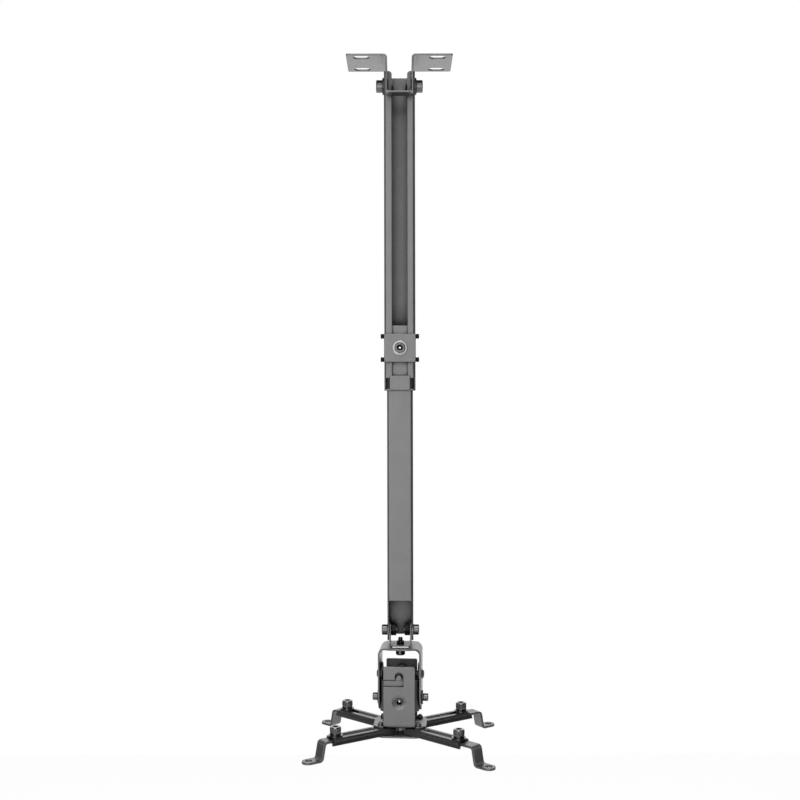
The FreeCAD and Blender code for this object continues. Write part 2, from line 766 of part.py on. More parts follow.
def outer_channel():
    body = new_body("outer_channel")
    lip = dims.lip_gap / 2
    outer_bend = dims.channel_bend + dims.sheet_thick
    back = dims.channel_depth / 2
    inner_back = back - dims.sheet_thick
    lip_back = channel_front + dims.sheet_thick
    slab(body, "XY", -channel_end, -channel_top, [loop([
        (-lip, channel_front),
        (-channel_half, channel_front, outer_bend),
        (-channel_half, back, outer_bend),
        (channel_half, back, outer_bend),
        (channel_half, channel_front, outer_bend),
        (lip, channel_front),
        (lip, lip_back),
        (channel_inner, lip_back, dims.channel_bend),
        (channel_inner, inner_back, dims.channel_bend),
        (-channel_inner, inner_back, dims.channel_bend),
        (-channel_inner, lip_back, dims.channel_bend),
        (-lip, lip_back),
    ])])
    slit_in = bracket_leg_inner - dims.slide_gap
    slit_back = lip_back + dims.channel_bend + dims.slide_gap
    for left, right in ((slit_in, channel_inner), (-channel_inner, -slit_in)):
        cut(body, "XZ", channel_front - 1, slit_back, [box_loop(left, -lip_slit, right, -channel_top + 1)])
    notch_low = -(channel_end - dims.notch_up)
    for left, right in ((dims.notch_in, channel_inner), (-channel_inner, -dims.notch_in)):
        notch = box_loop(left, notch_low, right, notch_low + dims.notch_high)
        cut(body, "XZ", channel_front - 1, slit_back, [notch])
    hole = ring(0, -dims.top_pivot, dims.top_screw / 2 + dims.pivot_gap)
    last = cut(body, "YZ", -channel_half - 1, channel_half + 1, [hole])
    rounded(body, last, dims.lip_round, lambda edge, middle: (
        along(edge, Y_AXIS) and near(middle.z, -channel_top) and near(abs(middle.x), lip)))


def stop_plate():
    body = new_body("stop_plate")
    low = -(channel_end - dims.stop_up)
    half = dims.stop_wide / 2
    slab(body, "XZ", channel_front - dims.sheet_thick, channel_front, [loop([
        (-half, low, dims.sheet_thick),
        (half, low, dims.sheet_thick),
        (half, low + dims.stop_high, dims.sheet_thick),
        (-half, low + dims.stop_high, dims.sheet_thick),
    ])])


def guide_bush():
    body = new_body("guide_bush")
    low = -channel_end + dims.sheet_thick / 2
    inner_depth = dims.channel_depth / 2 - dims.sheet_thick
    slab(body, "XY", low, low + dims.bush_high, [
        round_box(channel_inner, inner_depth, dims.channel_bend),
        round_box(tube_half + dims.bush_gap, dims.tube_depth / 2 + dims.bush_gap, tube_corner),
    ])
    notch_low = -(channel_end - dims.notch_up)
    lug_out = dims.notch_in + dims.lug_wide
    shapes = []
    for left, right in ((dims.notch_in, lug_out), (-lug_out, -dims.notch_in)):
        shapes.append(box_loop(left, notch_low, right, notch_low + dims.notch_high))
    slab(body, "XZ", channel_front + dims.slide_gap, tube_front - dims.bush_gap, shapes)


# Inner tube and clamp

def inner_tube():
    body = new_body("inner_tube")
    outer_bend = dims.tube_bend + dims.sheet_thick
    inner_depth = dims.tube_depth / 2 - dims.sheet_thick
    slab(body, "XY", low_axis, -tube_top, [
        round_box(tube_half, dims.tube_depth / 2, outer_bend),
        round_box(tube_inner, inner_depth, dims.tube_bend),
    ])
    slab(body, "XZ", inner_depth, dims.tube_depth / 2, [
        box_loop(-tube_inner, low_axis - dims.tube_back_end, tube_inner, low_axis + 1)])
    both_sides(body, "YZ", tube_inner, tube_half, [ring(0, low_axis, dims.tube_depth / 2)])
    cut(body, "XZ", tube_front - 1, -(inner_depth - dims.tube_bend), [
        box_loop(-tube_inner, low_axis - dims.tube_depth, tube_inner, -tube_cut)])
    cut(body, "XZ", tube_front - 1, -inner_depth, [ring(0, -clamp_drop, dims.screw_size / 2 + dims.pass_gap)])
    cut(body, "YZ", -tube_half - 1, tube_half + 1, [ring(0, low_axis, dims.screw_size / 2 + dims.pivot_gap)])


def tube_glide():
    body = new_body("tube_glide")
    half_wide = channel_inner - dims.bush_gap
    half_deep = dims.channel_depth / 2 - dims.sheet_thick - dims.bush_gap
    middle = -clamp_drop
    slab(body, "XY", middle - dims.glide_high / 2, middle + dims.glide_high / 2, [
        round_box(half_wide, half_deep, dims.channel_bend),
        round_box(tube_half, dims.tube_depth / 2, dims.tube_bend + dims.sheet_thick),
    ])
    cut(body, "XZ", channel_front, as_size(0), [ring(0, middle, dims.screw_size / 2 + dims.pass_gap)])


def clamp():
    body = new_body("clamp_block")
    middle = -clamp_drop
    half = dims.clamp_wide / 2
    slab(body, "XZ", block_front, block_back, [
        loop([
            (-half, middle - dims.clamp_high / 2, dims.sheet_thick),
            (half, middle - dims.clamp_high / 2, dims.sheet_thick),
            (half, middle + dims.clamp_high / 2, dims.sheet_thick),
            (-half, middle + dims.clamp_high / 2, dims.sheet_thick),
        ]),
        ring(0, middle, dims.screw_size / 2 + dims.pass_gap),
    ])
    grub_line = (block_front + block_back) / 2
    rows = (middle + dims.grub_pitch / 2, middle - dims.grub_pitch / 2)
    holes = [ring(grub_line, row, dims.grub_size / 2) for row in rows]
    both_sides(body, "YZ", half - dims.grub_in, half + 1, holes, cutting=True)
    bearing = block_front - dims.washer_thick
    length = -bearing + tube_front + dims.sheet_thick + dims.nut_long + dims.screw_end
    screw = middle_screw("clamp_screw_one", length)
    keep("clamp_screw", [put(screw, -Y_AXIS, 0, bearing, middle)])
    bore = dims.screw_size + dims.pass_gap
    disc = washer("clamp_washer_one", dims.clamp_washer_size, bore, dims.washer_thick)
    keep("clamp_washer", [put(disc, Y_AXIS, 0, bearing, middle)])
    inside = nut("clamp_nut_one", dims.nut_size, dims.screw_size, dims.nut_long)
    keep("clamp_nut", [put(inside, Y_AXIS, 0, tube_front + dims.sheet_thick, middle)])
    grub_long = dims.grub_in + dims.grub_out
    grubs = []
    for number, row in enumerate(rows):
        for side in (1, -1):
            name = "grub_%d_%s" % (number, "right" if side > 0 else "left")
            pin = rod(name + "_pin", dims.grub_size / 2, 0, grub_long)
            socket = hexagon(name + "_key", dims.grub_key, grub_long - dims.grub_key, grub_long + 1)
            grub = without(name, pin, socket)
            grubs.append(put(grub, X_AXIS * side, (half - dims.grub_in) * side, grub_line, row))
    keep("side_grub_screws", grubs)


# Lower pivot, clevis and swivel

def lower_pivot_fasteners():
    bearing = tube_half
    nut_face = clevis_inner - dims.turn_gap
    length = bearing - nut_face + dims.nut_long + dims.screw_end

    def screw(name):
        return socket_screw(name, dims.screw_size, length, dims.head_size, dims.low_head_long, dims.key_size)

    def inner_nut(name):
        return nut(name, dims.nut_size, dims.screw_size, dims.nut_long)

    side_pair("low_pivot_screws", screw, bearing, 0, low_axis)
    side_pair("low_pivot_nuts", inner_nut, nut_face - dims.nut_long, 0, low_axis)


def swivel_clevis():
    body = new_body("swivel_clevis")
    half_deep = dims.clevis_depth / 2
    base_front = -dims.clevis_front
    outer_bend = dims.bend + dims.sheet_thick
    base_top = clevis_base + dims.sheet_thick
    slab(body, "XZ", base_front, half_deep, [loop([
        (-clevis_half, low_axis),
        (-clevis_half, clevis_base, outer_bend),
        (clevis_half, clevis_base, outer_bend),
        (clevis_half, low_axis),
        (clevis_inner, low_axis),
        (clevis_inner, base_top, dims.bend),
        (-clevis_inner, base_top, dims.bend),
        (-clevis_inner, low_axis),
    ])])
    slope_start = base_top + dims.bend
    cut(body, "YZ", -clevis_half - 1, clevis_half + 1, [loop([
        (base_front - 1, slope_start),
        (base_front, slope_start),
        (-half_deep, low_axis),
        (-half_deep, low_axis + 1),
        (base_front - 1, low_axis + 1),
    ])])
    both_sides(body, "YZ", clevis_inner, clevis_half, [ring(0, low_axis, half_deep)])
    hole = ring(0, low_axis, dims.screw_size / 2 + dims.pivot_gap)
    cut(body, "YZ", -clevis_half - 1, clevis_half + 1, [hole])
    cut(body, "XY", clevis_base - 1, base_top + 1, [ring(0, 0, dims.swivel_screw / 2)])


def swivel_fasteners():
    bearing = yoke_top - dims.sheet_thick - dims.turn_gap
    base_top = clevis_base + dims.sheet_thick
    length = base_top - bearing + dims.swivel_nut_long + dims.swivel_end
    head = (dims.swivel_head, dims.swivel_head_long, dims.swivel_key)
    screw = socket_screw("swivel_screw_one", dims.swivel_screw, length, *head)
    keep("swivel_screw", [put(screw, -Z_AXIS, 0, 0, bearing)])
    top = nut("swivel_nut_one", dims.swivel_nut, dims.swivel_screw, dims.swivel_nut_long)
    keep("swivel_nut", [put(top, Z_AXIS, 0, 0, base_top)])


# Yoke and tilt bracket

def yoke():
    body = new_body("yoke")
    half_deep = dims.yoke_depth / 2
    crown = dims.yoke_crown / 2
    outer_bend = dims.yoke_bend + dims.sheet_thick
    leg_end = yoke_top - dims.yoke_leg
    under = yoke_top - dims.sheet_thick
    slab(body, "XZ", -crown, crown, [loop([
        (-yoke_half, leg_end),
        (-yoke_inner, leg_end),
        (-yoke_inner, under, dims.yoke_bend),
        (yoke_inner, under, dims.yoke_bend),
        (yoke_inner, leg_end),
        (yoke_half, leg_end),
        (yoke_half, yoke_top, outer_bend),
        (-yoke_half, yoke_top, outer_bend),
    ])])
    taper_start = dims.crown_flat / 2
    trims = []
    for side in (1, -1):
        for row in (1, -1):
            trims.append(loop([
                (taper_start * side, crown * row),
                (yoke_inner * side, half_deep * row),
                ((yoke_half + 1) * side, half_deep * row),
                ((yoke_half + 1) * side, (crown + 1) * row),
                (taper_start * side, (crown + 1) * row),
            ]))
    cut(body, "XY", leg_end - 1, yoke_top + 1, trims)
    both_sides(body, "YZ", yoke_inner, yoke_half, [ring(0, leg_end, half_deep)])
    cut(body, "XY", under - 1, yoke_top + 1, [ring(0, 0, dims.swivel_screw / 2 + dims.pivot_gap)])
    cut(body, "YZ", -yoke_half - 1, yoke_half + 1, [
        ring(0, tilt_axis, dims.rivet_size / 2),
        arc_slot(tilt_axis, dims.lock_radius, dims.lock_angle, dims.lock_screw / 2 + dims.pass_gap),
    ])
    turned(body, head_angle)


def tilt_bracket():
    body = new_body("tilt_bracket")
    outer_bend = dims.sleeve_bend + dims.sheet_thick
    inner_deep = -sleeve_front - dims.sheet_thick
    slab(body, "XY", tilt_axis - dims.sleeve_down, tilt_axis - dims.sleeve_rim, [
        round_box(sleeve_half, -sleeve_front, outer_bend),
        round_box(sleeve_inner, inner_deep, dims.sleeve_bend),
    ])
    both_sides(body, "YZ", sleeve_inner, sleeve_half, [ring(0, tilt_axis, dims.sleeve_ear)])
    both_sides(body, "XZ", inner_deep, -sleeve_front, [ring(0, -hook_drop, dims.pin_ear)])
    cut(body, "YZ", -sleeve_half - 1, sleeve_half + 1, [
        ring(0, tilt_axis, dims.rivet_size / 2 + dims.pivot_gap),
        ring(0, tilt_axis - dims.lock_radius, dims.lock_screw / 2),
    ])
    cut(body, "XZ", sleeve_front - 1, -sleeve_front + 1, [ring(0, -hook_drop, dims.hook_pin / 2)])
    cut(body, "XZ", sleeve_front - 1, as_size(0), [
        slot(-dims.roll_travel, dims.roll_travel, -roll_drop, dims.screw_size / 2 + dims.pass_gap)])
    turned(body, head_angle)


def tilt_fasteners():
    tail = dims.rivet_high
    length = yoke_half - sleeve_inner + dims.turn_gap + tail
    lock_level = tilt_axis - dims.lock_radius
    seat = yoke_half + dims.turn_gap
    bearing = seat + dims.washer_thick
    lock_length = bearing - sleeve_inner + dims.lock_nut_long + dims.screw_end

    def side_rivet(name):
        head = rivet(name + "_head", dims.rivet_size, length, dims.rivet_head, dims.rivet_high)
        end = rod(name + "_tail", dims.rivet_head * 0.4, -length, tail - length)
        return fused(name, [head, end])

    def screw(name):
        head = (dims.lock_head, dims.lock_head_long, dims.lock_key)
        return socket_screw(name, dims.lock_screw, lock_length, *head)

    def ring_washer(name):
        return washer(name, dims.lock_washer, dims.lock_screw + dims.pass_gap, dims.washer_thick)

    def inner_nut(name):
        return nut(name, dims.lock_nut, dims.lock_screw, dims.lock_nut_long)

    pairs = [
        side_pair("tilt_rivets", side_rivet, yoke_half, 0, tilt_axis),
        side_pair("tilt_lock_screws", screw, bearing, 0, lock_level),
        side_pair("tilt_lock_washers", ring_washer, seat, 0, lock_level),
        side_pair("tilt_lock_nuts", inner_nut, sleeve_inner - dims.lock_nut_long, 0, lock_level),
    ]
    for pair in pairs:
        turned(pair, head_angle)


def hook_pins():
    inside = -sleeve_front - dims.sheet_thick
    outside = -hanger_front + dims.sheet_thick
    pins = []
    for name, direction, sign in (("hook_pin_back", Y_AXIS, 1), ("hook_pin_front", -Y_AXIS, -1)):
        pin = rod(name, dims.hook_pin / 2, 0, outside - inside)
        pins.append(put(pin, direction, 0, inside * sign, -hook_drop))
    turned(keep("hook_pins", pins), head_angle)


# Hanger, hub and roll lock

def arm_pivots():
    """The four arm pivots, as places in the hub's plane."""
    across = dims.arm_pivot * cosine(dims.arm_angle)
    away = dims.arm_pivot * sine(dims.arm_angle)
    return [(across * side, away * row) for side in (1, -1) for row in (1, -1)]


def hanger():
    body = new_body("hanger")
    back = -hanger_front
    inside_back = back - dims.sheet_thick
    half = dims.hanger_wide / 2
    outer_bend = dims.bend + dims.sheet_thick
    slab(body, "YZ", -half, half, [loop([
        (hanger_front, -hanger_top),
        (hanger_front, base_under, outer_bend),
        (back, base_under, outer_bend),
        (back, -hanger_top),
        (inside_back, -hanger_top),
        (inside_back, base_over, dims.bend),
        (hanger_inside, base_over, dims.bend),
        (hanger_inside, -hanger_top),
    ])])
    base_half = dims.base_wide / 2
    base_deep = dims.base_depth / 2
    for left, right in ((half, base_half), (-base_half, -half)):
        slab(body, "XY", base_under, base_over, [box_loop(left, -base_deep, right, base_deep)])
    hook = dims.hook_pin / 2 + dims.hook_gap
    slot_top = -(hook_drop + dims.hook_fall)
    slot_low = slot_top - dims.hook_slot
    cut(body, "XZ", hanger_front - 1, hanger_inside + 0.2, [
        box_loop(-half - 1, slot_low, hook, slot_top)])
    arch = dims.hook_rise - hook_drop
    cut(body, "XZ", hanger_front - 1, hanger_inside + 0.2, [
        box_loop(-hook, slot_top - 0.5, hook, arch)])
    cut(body, "XZ", hanger_front - 1, back + 1, [ring(0, arch, hook)])
    cut(body, "XZ", hanger_front - 1, hanger_inside + 0.2, [ring(0, -roll_drop, dims.screw_size / 2)])
    dish = body.newObject("PartDesign::SubtractiveCone", "hanger_dish")
    support = [p for p in body.Origin.OriginFeatures if p.Role == "XZ_Plane"][0]
    dish.AttachmentSupport = [(support, "")]
    dish.MapMode = "FlatFace"
    dish.setExpression("AttachmentOffset.Base.y", (-roll_drop).text)
    dish.setExpression("AttachmentOffset.Base.z", (-hanger_front - dims.dish_deep).text)
    dish.setExpression("Radius1", (dims.dish_inner / 2).text)
    dish.setExpression("Radius2", (dims.dish_size / 2).text)
    dish.setExpression("Height", dims.dish_deep.text)
    doc.recompute()
    holes = [ring(x, y, dims.arm_rivet / 2) for x, y in arm_pivots()]
    holes.append(ring(0, 0, dims.lock_screw / 2))
    last = cut(body, "XY", base_under - 1, base_over + 1, holes)
    chamfer = body.newObject("PartDesign::Chamfer", "hanger_corners")
    chamfer.Base = (last, edges_at(last, lambda edge, middle: (
        along(edge, Y_AXIS) and near(abs(middle.x), half) and near(middle.z, -hanger_top))))
    chamfer.setExpression("Size", dims.hanger_corner.text)
    doc.recompute()
    rounded(body, chamfer, dims.base_corner, lambda edge, middle: (
        along(edge, Z_AXIS) and near(abs(middle.x), base_half)))
    turned(body, head_angle)


def roll_lock():
    bearing = hanger_front + dims.dish_deep
    inside = sleeve_front + dims.sheet_thick + dims.turn_gap
    length = inside - bearing + dims.nut_long + dims.screw_end
    head = (dims.roll_head, dims.roll_head_long, dims.roll_key, dims.roll_socket)
    screw = socket_screw("roll_screw_one", dims.screw_size, length, *head)
    screws = keep("roll_lock_screw", [put(screw, -Y_AXIS, 0, bearing, -roll_drop)])
    inner = nut("roll_nut_one", dims.nut_size, dims.screw_size, dims.nut_long)
    nuts = keep("roll_lock_nut", [put(inner, Y_AXIS, 0, inside, -roll_drop)])
    turned(screws, head_angle)
    turned(nuts, head_angle)


def hub():
    plate = new_body("hub_base_plate")
    outline = round_box(dims.hub_wide / 2, dims.hub_depth / 2, dims.hub_corner)
    holes = [ring(x, y, dims.arm_rivet / 2) for x, y in arm_pivots()]
    holes.append(ring(0, 0, dims.lock_screw / 2))
    slab(plate, "XY", hub_under, hub_top, [outline] + holes)
    turned(plate, head_angle)
    spacer = washer("hub_spacer_one", dims.spacer_size, dims.lock_screw, base_under - hub_top)
    turned(keep("hub_spacer", [put(spacer, Z_AXIS, 0, 0, hub_top)]), head_angle)
    through = base_over - hub_under
    head = (dims.hub_head, dims.hub_head_long, dims.lock_key)
    screw = socket_screw("hub_screw_one", dims.lock_screw, through, *head)
    turned(keep("hub_screw", [put(screw, Z_AXIS, 0, 0, base_over)]), head_angle)
    rivets = []
    for number, (x, y) in enumerate(arm_pivots()):
        name = "arm_rivet_%d" % number
        solid = rivet(name + "_solid", dims.arm_rivet, through, dims.arm_rivet_head, dims.arm_rivet_high)
        bore = rod(name + "_bore", dims.arm_rivet_bore / 2, -dims.arm_high, dims.arm_rivet_high + 1)
        rivets.append(put(without(name, solid, bore), Z_AXIS, x, y, base_over))
    turned(keep("arm_rivets", rivets), head_angle)


# Arms and legs, built along the X axis and then turned about the hub

def arm(name, angle):
    body = new_body("arm_" + name)
    half = dims.arm_wide / 2
    inner = half - dims.sheet_thick
    waist = arm_top - dims.arm_waist
    slab(body, "YZ", dims.arm_start, dims.arm_end + dims.arm_lip, [loop([
        (-half, arm_top, dims.sheet_thick),
        (-half, waist),
        (-half - dims.arm_flare, arm_under),
        (-inner - dims.arm_flare, arm_under),
        (-inner, waist),
        (-inner, arm_top - dims.sheet_thick),
        (inner, arm_top - dims.sheet_thick),
        (inner, waist),
        (inner + dims.arm_flare, arm_under),
        (half + dims.arm_flare, arm_under),
        (half, waist),
        (half, arm_top, dims.sheet_thick),
    ])])
    cut(body, "XZ", -half - 1, half + 1, [
        box_loop(dims.arm_end, waist, dims.arm_end + dims.arm_lip + 1, arm_top + 1)])
    cut(body, "XY", arm_top - dims.sheet_thick - 0.2, arm_top + 1, [
        ring(dims.arm_pivot, 0, dims.arm_rivet / 2 + dims.pivot_gap),
        slot(dims.arm_slot_start, dims.arm_slot_end, 0, dims.arm_slot / 2),
    ])
    turned(body, angle)


def leg(name, angle, further):
    body = new_body("leg_" + name)
    half = dims.leg_wide / 2
    knee = dims.leg_knee + further
    foot = leg_foot + further
    tip = foot + half
    slab(body, "XZ", -half, half, [loop([
        (dims.leg_inner, strap_top),
        (knee, strap_top),
        (knee + dims.leg_lean, foot_top),
        (tip, foot_top),
        (tip, foot_under),
        (knee + dims.leg_lean - dims.leg_thick, foot_under),
        (knee - dims.leg_thick, strap_under),
        (dims.leg_inner, strap_under),
    ])])
    collar_under = strap_under - dims.leg_collar_high
    slab(body, "XY", collar_under, strap_under, [ring(dims.leg_screw_at, 0, dims.leg_collar / 2)])
    last = cut(body, "XY", foot_under - 1, strap_top + 1, [
        ring(dims.leg_screw_at, 0, dims.screw_size / 2),
        ring(foot, 0, dims.leg_hole / 2),
    ])
    inner_folds = ((knee - dims.leg_thick, strap_under), (knee + dims.leg_lean, foot_top))
    outer_folds = ((knee, strap_top), (knee + dims.leg_lean - dims.leg_thick, foot_under))
    for folds, radius in ((inner_folds, dims.leg_fold), (outer_folds, dims.leg_fold + dims.leg_thick)):
        last = rounded(body, last, radius, lambda edge, middle: (
            along(edge, Y_AXIS) and any(near(middle.x, x) and near(middle.z, z) for x, z in folds)))
    last = rounded(body, last, half - dims.slide_gap, lambda edge, middle: (
        along(edge, Z_AXIS) and near(middle.x, tip)))
    rounded(body, last, dims.bend, lambda edge, middle: (
        along(edge, Z_AXIS) and near(middle.x, dims.leg_inner)))
    turned(body, angle)


def turned_group(name, made, angle):
    """Carry a fastener out along an arm and turn it with that arm."""
    made.setExpression("Placement.Base.x", dims.leg_screw_at.text)
    turned(keep(name, [made]), angle)


def leg_fasteners(name, angle):
    seat = arm_top + dims.turn_gap
    spring_seat = seat + dims.washer_thick
    bearing = spring_seat + dims.spring_thick
    length = bearing - strap_under + dims.leg_collar_high + dims.screw_end / 2
    screw = middle_screw("leg_screw_%s_one" % name, length)
    turned_group("leg_screw_" + name, put(screw, Z_AXIS, 0, 0, bearing), angle)
    bore = dims.screw_size + dims.pass_gap
    disc = washer("leg_washer_%s_one" % name, dims.leg_washer, bore, dims.washer_thick)
    turned_group("leg_washer_" + name, put(disc, Z_AXIS, 0, 0, seat), angle)
    split = spring_washer("leg_spring_%s_one" % name, dims.spring_size, bore, dims.spring_thick)
    turned_group("leg_spring_" + name, put(split, Z_AXIS, 0, 0, spring_seat), angle)


ceiling_bracket()
top_pivot_fasteners()
outer_channel()
stop_plate()
guide_bush()
inner_tube()
tube_glide()
clamp()
lower_pivot_fasteners()
swivel_clevis()
swivel_fasteners()
yoke()
tilt_bracket()
tilt_fasteners()
hook_pins()
hanger()
roll_lock()
hub()
corners = {
    "front_left": dims.arm_angle + 180,
    "front_right": -dims.arm_angle,
    "rear_left": -dims.arm_angle + 180,
    "rear_right": dims.arm_angle,
}
leg_setting = {
    "front_left": as_size(0),
    "front_right": dims.leg_set_right,
    "rear_left": as_size(0),
    "rear_right": dims.leg_set_right,
}
for corner_name, corner_angle in corners.items():
    arm(corner_name, corner_angle + head_angle)
    leg(corner_name, corner_angle + head_angle, leg_setting[corner_name])
    leg_fasteners(corner_name, corner_angle + head_angle)
doc.recompute()

for item in doc.Objects:
    if "Invalid" in item.State or "Error" in item.State:
        raise RuntimeError("%s is %s" % (item.Name, item.State))
for item in parts_to_write:
    if item.Shape.isNull() or not item.Shape.isValid():
        raise RuntimeError("no sound shape for " + item.Label)
    item.Shape.exportStep("parts/%s.step" % item.Label)
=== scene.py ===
import json
import math

import bpy
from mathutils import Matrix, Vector


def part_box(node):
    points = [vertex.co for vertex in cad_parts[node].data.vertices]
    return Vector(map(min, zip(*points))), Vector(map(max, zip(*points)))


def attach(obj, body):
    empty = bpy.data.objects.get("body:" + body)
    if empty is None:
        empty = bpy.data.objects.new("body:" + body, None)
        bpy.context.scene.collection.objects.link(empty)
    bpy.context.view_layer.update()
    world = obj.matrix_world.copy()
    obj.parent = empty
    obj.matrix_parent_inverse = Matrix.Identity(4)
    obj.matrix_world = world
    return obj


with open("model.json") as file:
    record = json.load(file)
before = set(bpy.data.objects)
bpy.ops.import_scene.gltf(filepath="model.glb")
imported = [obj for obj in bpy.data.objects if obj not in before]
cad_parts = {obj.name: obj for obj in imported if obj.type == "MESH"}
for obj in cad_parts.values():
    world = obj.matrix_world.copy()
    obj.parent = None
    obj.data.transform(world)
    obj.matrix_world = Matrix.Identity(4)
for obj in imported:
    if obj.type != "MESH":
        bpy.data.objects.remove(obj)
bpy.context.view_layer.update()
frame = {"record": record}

scene = bpy.context.scene
scene.view_settings.view_transform = "Standard"

CORNERS = ("front_left", "front_right", "rear_left", "rear_right")

# Softened edges: bevel in the mesh and its least angle in degrees, and rounding in the shading, in metres
EDGE_BEVEL = 0.0003
EDGE_STEPS = 2
EDGE_ANGLE = 40
EDGE_SOFT = 0.0010
SOFT_SAMPLES = 6

# Painted shade: how far shelter is looked for in folds and in narrow gaps, in metres, and the share of open
# sky where the shade fades
FOLD_REACH = 0.030
FOLD_FADE = (0.25, 0.55)
GAP_REACH = 0.004
GAP_FADE = (0.30, 0.75)
SHELTER_SAMPLES = 8

# The part of the noise's range that is used, its detail in clouds, grain and steel, and the grain's strength
NOISE_LOW = 0.35
NOISE_HIGH = 0.65
CLOUD_DETAIL = 4
GRAIN_DETAIL = 2
STEEL_DETAIL = 3
GRAIN_STRENGTH = 0.35

# The specular level at which a surface mirrors what its refractive index says
FULL_GLOSS = 0.5

# Scale of the clouds, and scale and height of the grain
COAT_TEXTURE = (60, 1600, 0.00006)
METAL_TEXTURE = (150, 1200, 0.00003)
SMOOTH_TEXTURE = (150, 1200, 0.00001)
DULL_TEXTURE = (80, 900, 0.00003)

# Darkest and lightest tone, roughness, share mirrored head on, least colour and gloss left by the painted
# shade in folds and in gaps, texture
FINISH_SETTINGS = {
    "powder_coat": ((0.050, 0.070), (0.36, 0.44), 0.178, (0.10, 0.30), COAT_TEXTURE),
    # The arms: the same black paint as the rest, made darker as painted shade.
    "shaded_arm_finish": ((0.028, 0.042), (0.30, 0.38), 0.129, (0.10, 0.30), COAT_TEXTURE),
    "black_oxide": ((0.010, 0.022), (0.10, 0.16), 0.120, (0.08, 0.30), METAL_TEXTURE),
    "bright_oxide": ((0.008, 0.018), (0.05, 0.09), 0.149, (0.08, 0.30), SMOOTH_TEXTURE),
    "knurled_oxide": ((0.020, 0.035), (0.16, 0.24), 0.281, (0.08, 0.30), METAL_TEXTURE),
    "dark_rivet": ((0.030, 0.055), (0.24, 0.34), 0.149, (0.30, 0.30), METAL_TEXTURE),
    "plain_steel": ((0.22, 0.32), (0.22, 0.32), 0.339, (0.70, 0.30), METAL_TEXTURE),
    # Zinc for the hub spacer, lightened as painted light where it sits in shade, with no painted shade.
    "zinc_with_painted_light": ((0.55, 0.70), (0.30, 0.40), 0.107, (1.00, 1.00), METAL_TEXTURE),
    "dull_black": ((0.004, 0.008), (0.40, 0.55), 0.020, (0.30, 0.30), DULL_TEXTURE),
    "black_plastic": ((0.010, 0.018), (0.45, 0.60), 0.034, (0.30, 0.30), DULL_TEXTURE),
}

# Bright steel for painted highlights: darkest and lightest tone, roughness, share of metal and scale of the
# grain
STEEL_TONES = (0.84, 0.95)
STEEL_ROUGH = (0.25, 0.40)
STEEL_METAL = 0.9
STEEL_GRAIN = 900

# Knurls and threads, in metres; their ends are sunk into the screws
KNURL_COUNT = 30
KNURL_RISE = 0.00022
KNURL_HIGH = 0.0046
KNURL_DOWN = 0.0007
THREAD_PITCH = 0.0007
THREAD_RISE = 0.00022
THREAD_POINTS = 32
SWIVEL_RADIUS = 0.0020
VALLEY_RISE = 0.00002
SUNK = 0.0002

# Bright steel spots at the bottom of two key sockets, painted glints, in metres
POINT_THICK = 0.0001
CLAMP_POINT_IN = 0.00454
CLAMP_POINT_RADIUS = 0.0009
ROLL_POINT_FRONT = 0.01464
ROLL_POINT_RADIUS = 0.0008
DISC_POINTS = 48

# Head of the rear hook pin and a bright steel spot on it, a painted highlight, in metres
PIN_HEAD_BACK = 0.0189
PIN_HEAD_RADIUS = 0.0047
PIN_HEAD_THICK = 0.001
PIN_SPOT_RADIUS = 0.0012
PIN_SPOT_THICK = 0.0002

# Bright steel strip on the lower edge of the clevis, a painted highlight, in metres, and its lean in degrees
HIGHLIGHT_EDGE_SIZES = (0.0153, 0.0001, 0.0006)
HIGHLIGHT_EDGE_UP = 0.0003
HIGHLIGHT_EDGE_OUT = 0.00002
HIGHLIGHT_EDGE_LEAN = -20

# How far the head's front is swivelled to the viewer's left, in degrees
HEAD_TURN = 4.4

# Camera: place and clip distances in metres, roll in degrees, focal length and image size in pixels
CAMERA_PLACE = (0.0, -1.050, -0.3232)
CAMERA_ROLL = 0.11
FOCAL_PIXELS = 1098.0
IMAGE_PIXELS = 800.0
SENSOR_MM = 36.0
CLIP_NEAR = 0.05
CLIP_FAR = 50

# Stage: places and sizes in metres, greys, and the share of its own shading that each plane shows
FLOOR_LEVEL = -1.5
FLOOR_SIZE = 4.2
FLOOR_BACK = 0.5
FLOOR_SHADING = 0.02
BACKDROP_AT = 2.6
BACKDROP_SIZE = 4.4
BACKDROP_SHADING = 0.0
PLANE_GREY = 0.9
PLANE_ROUGH = 0.9
ROOM_GREY = 0.06
ROOM_PLACE = (0.0, 0.0, 0.34)
ROOM_SIZES = (5.3, 5.4, 3.8)
WORLD_LEVEL = 0.03


def node_named(tree, kind, **settings):
    """Add a shader node and set its plain properties."""
    made = tree.nodes.new(kind)
    for key, value in settings.items():
        setattr(made, key, value)
    return made


def object_noise(tree, scale, detail):
    """Noise that stays fixed to the piece's own surface."""
    place = node_named(tree, "ShaderNodeTexCoord")
    noise = node_named(tree, "ShaderNodeTexNoise")
    noise.inputs["Scale"].default_value = scale
    noise.inputs["Detail"].default_value = detail
    tree.links.new(place.outputs["Object"], noise.inputs["Vector"])
    return noise


def ranged(tree, source, low, high, start=NOISE_LOW, end=NOISE_HIGH):
    """Spread a value, such as noise, between two values."""
    spread = node_named(tree, "ShaderNodeMapRange")
    spread.inputs["From Min"].default_value = start
    spread.inputs["From Max"].default_value = end
    spread.inputs["To Min"].default_value = low
    spread.inputs["To Max"].default_value = high
    tree.links.new(source, spread.inputs["Value"])
    return spread.outputs["Result"]


def grey_ramp(tree, source, dark, light):
    """Turn a noise value into a grey between two greys."""
    ramp = node_named(tree, "ShaderNodeValToRGB")
    ramp.color_ramp.elements[0].position = NOISE_LOW
    ramp.color_ramp.elements[0].color = (dark, dark, dark, 1)
    ramp.color_ramp.elements[1].position = NOISE_HIGH
    ramp.color_ramp.elements[1].color = (light, light, light, 1)
    tree.links.new(source, ramp.inputs["Fac"])
    return ramp.outputs["Color"]


